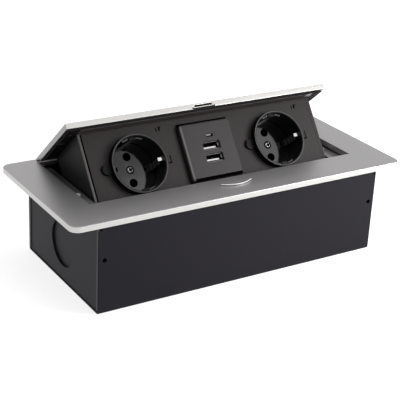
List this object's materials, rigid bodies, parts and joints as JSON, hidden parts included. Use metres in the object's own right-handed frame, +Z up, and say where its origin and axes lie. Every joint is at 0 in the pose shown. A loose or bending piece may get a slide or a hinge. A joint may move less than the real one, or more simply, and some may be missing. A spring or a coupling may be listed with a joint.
{
  "type": "pop-up desk power outlet",
  "caption": "Desk power outlet that tilts up out of a desk top: earthed sockets and USB ports on a sprung cradle under a flush lid, in a black steel box with a silver frame.",
  "frame": {"origin": "centre of the box's underside, which is also the bottom centre of the whole", "axes": "+X along the outlet to its right end, +Y from the front to the hinge side, +Z up out of the desk top"},
  "size_m": [0.266, 0.116, 0.1111],
  "materials": {
    "frame_aluminium": "satin silver anodised",
    "lid_aluminium": "satin silver anodised",
    "box_black": "fine matt black powder coat",
    "panel_black": "fine matt black powder coat",
    "socket_black": "satin",
    "core_grey": "fine texture",
    "module_black": "satin",
    "plastic_black": "matt",
    "plastic_white": "plain",
    "brass": "plain",
    "bright_steel": "bright",
    "dark_nickel": "dark nickel plated",
    "spring_steel": "plain",
    "zinc_steel": "zinc plated",
    "rubber": "matt grey",
    "board_green": "solder mask"
  },
  "bodies": {
    "box": {"frame": "frame_aluminium", "housing_shell": "box_black", "latch_housing": "plastic_black", "terminal_block": "plastic_white", "pivot_shaft": "bright_steel", "end_plate_left": "box_black", "stop_pad_left": "rubber", "hinge_bracket_left": "zinc_steel", "retaining_clip_left": "spring_steel", "torsion_spring_left": "spring_steel", "button_spring_left": "spring_steel", "frame_screw_front_left": "zinc_steel", "frame_screw_rear_left": "zinc_steel", "end_plate_right": "box_black", "stop_pad_right": "rubber", "hinge_bracket_right": "zinc_steel", "retaining_clip_right": "spring_steel", "torsion_spring_right": "spring_steel", "button_spring_right": "spring_steel", "frame_screw_front_right": "zinc_steel", "frame_screw_rear_right": "zinc_steel", "bolt_spring": "spring_steel"},
    "cradle": {"cradle_shell": "panel_black", "lid_flange": "panel_black", "cradle_back_cover": "panel_black", "lid_plate": "lid_aluminium", "lid_striker": "bright_steel", "usb_face_plate": "module_black", "usb_housing": "plastic_black", "circuit_board": "board_green", "usb_c_shell": "dark_nickel", "usb_c_tongue": "plastic_black", "usb_a_shell_1": "dark_nickel", "usb_a_tongue_1": "plastic_white", "usb_a_shell_2": "dark_nickel", "usb_a_tongue_2": "plastic_white", "pivot_bush_left": "plastic_black", "socket_body_left": "socket_black", "socket_face_left": "core_grey", "contact_carrier_left": "plastic_black", "contact_clip_lower_left": "brass", "contact_clip_upper_left": "brass", "centre_screw_left": "bright_steel", "earth_strap_left": "bright_steel", "socket_cover_left": "plastic_black", "pivot_bush_right": "plastic_black", "socket_body_right": "socket_black", "socket_face_right": "core_grey", "contact_carrier_right": "plastic_black", "contact_clip_lower_right": "brass", "contact_clip_upper_right": "brass", "centre_screw_right": "bright_steel", "earth_strap_right": "bright_steel", "socket_cover_right": "plastic_black"},
    "button": {"latch_button": "frame_aluminium"},
    "bolt": {"latch_bolt": "zinc_steel"},
    "shutter_left": {"shutter_left": "plastic_black"},
    "shutter_right": {"shutter_right": "plastic_black"}
  },
  "joints": [
    {"name": "cradle_tilt", "type": "hinge", "parent": "box", "child": "cradle", "pos_m": [0, 0.0473, 0.04015], "axis": [1, 0, 0], "range_deg": [0, 41.3], "stiffness_Nm_per_rad": 0.3, "springref_deg": -60.16, "deforming": ["torsion_spring_left", "torsion_spring_right"]},
    {"name": "button_press", "type": "slide", "parent": "box", "child": "button", "axis": [0, 0, -1], "range_m": [0, 0.0018], "stiffness_N_per_m": 400, "springref_m": -0.002, "deforming": ["button_spring_left", "button_spring_right"]},
    {"name": "bolt_slide", "type": "slide", "parent": "box", "child": "bolt", "axis": [0, -1, 0], "range_m": [0, 0.0018], "stiffness_N_per_m": 300, "springref_m": -0.002, "deforming": ["bolt_spring"]},
    {"name": "shutter_slide_left", "type": "slide", "parent": "cradle", "child": "shutter_left", "axis": [-1, 0, 0], "range_m": [0, 0.0061], "stiffness_N_per_m": 60, "springref_m": -0.003},
    {"name": "shutter_slide_right", "type": "slide", "parent": "cradle", "child": "shutter_right", "axis": [-1, 0, 0], "range_m": [0, 0.0061], "stiffness_N_per_m": 60, "springref_m": -0.003}
  ],
  "couplings": [
    {"joint": "bolt_slide", "follows": "button_press", "ratio": 1}
  ]
}
